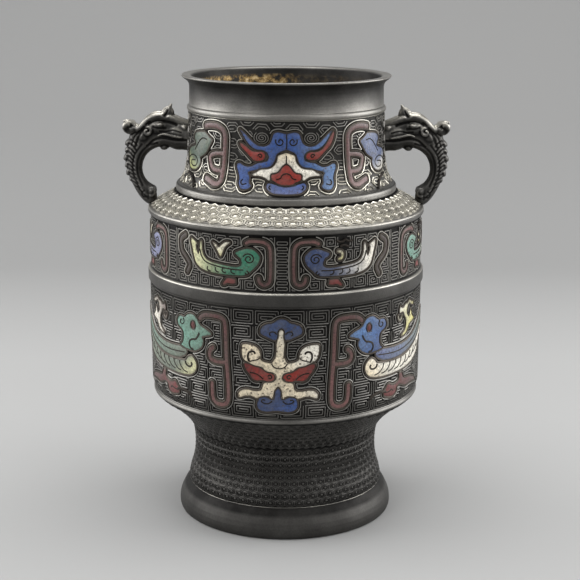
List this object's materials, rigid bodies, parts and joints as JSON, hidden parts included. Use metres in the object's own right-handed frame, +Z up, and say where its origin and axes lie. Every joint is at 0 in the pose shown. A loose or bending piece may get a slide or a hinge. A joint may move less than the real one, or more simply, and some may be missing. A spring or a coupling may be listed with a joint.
{
  "type": "two-handled bronze vase with enamel inlays",
  "caption": "Cast bronze vase with a flared lip, stepped neck, sloping shoulder, straight body, waisted foot, beast-head loop handles and inlaid enamel friezes.",
  "frame": {"origin": "centre of the foot's lower face, on the vase's axis", "axes": "+Z up along the axis, -Y towards the front mask, handles on +X and -X"},
  "size_m": [0.2202, 0.1868, 0.3],
  "materials": {
    "dark_bronze": "satin dark brown-black patina, worn brighter on the edges",
    "enamel_cobalt": null,
    "enamel_red": null,
    "enamel_white": null,
    "enamel_teal": null,
    "enamel_green": null,
    "enamel_mauve": null,
    "enamel_yellow": null
  },
  "bodies": {
    "root": {"neck_casting": "dark_bronze", "body_casting": "dark_bronze", "foot_casting": "dark_bronze", "base_plate": "dark_bronze", "handle_right": "dark_bronze", "handle_left": "dark_bronze", "mask_brow_front": "enamel_cobalt", "mask_horn_right_front": "enamel_red", "mask_horn_left_front": "enamel_red", "mask_fangs_front": "enamel_white", "mask_nose_front": "enamel_red", "mask_chin_front": "enamel_cobalt", "neck_creature_front_right": "enamel_cobalt", "neck_frame_front_right": "enamel_mauve", "bird_front_right": "enamel_cobalt", "bird_frame_front_right": "enamel_mauve", "flame_front_right": "enamel_yellow", "neck_creature_front_left": "enamel_teal", "neck_frame_front_left": "enamel_mauve", "bird_front_left": "enamel_teal", "bird_frame_front_left": "enamel_mauve", "flame_front_left": "enamel_yellow", "flower_cap_front": "enamel_cobalt", "flower_figure_front": "enamel_white", "flower_wing_right_front": "enamel_red", "flower_wing_left_front": "enamel_red", "flower_base_front": "enamel_cobalt", "mask_brow_back": "enamel_cobalt", "mask_horn_right_back": "enamel_red", "mask_horn_left_back": "enamel_red", "mask_fangs_back": "enamel_white", "mask_nose_back": "enamel_red", "mask_chin_back": "enamel_cobalt", "neck_creature_back_right": "enamel_cobalt", "neck_frame_back_right": "enamel_mauve", "bird_back_right": "enamel_cobalt", "bird_frame_back_right": "enamel_mauve", "flame_back_right": "enamel_yellow", "neck_creature_back_left": "enamel_teal", "neck_frame_back_left": "enamel_mauve", "bird_back_left": "enamel_teal", "bird_frame_back_left": "enamel_mauve", "flame_back_left": "enamel_yellow", "flower_cap_back": "enamel_cobalt", "flower_figure_back": "enamel_white", "flower_wing_right_back": "enamel_red", "flower_wing_left_back": "enamel_red", "flower_base_back": "enamel_cobalt", "crested_bird_right_1": "enamel_cobalt", "crested_frame_right_1": "enamel_mauve", "crested_bird_left_1": "enamel_green", "crested_frame_left_1": "enamel_mauve", "crested_bird_right_2": "enamel_green", "crested_frame_right_2": "enamel_mauve", "crested_bird_left_2": "enamel_cobalt", "crested_frame_left_2": "enamel_mauve", "crested_bird_right_3": "enamel_cobalt", "crested_frame_right_3": "enamel_mauve", "crested_bird_left_3": "enamel_green", "crested_frame_left_3": "enamel_mauve"}
  },
  "joints": []
}
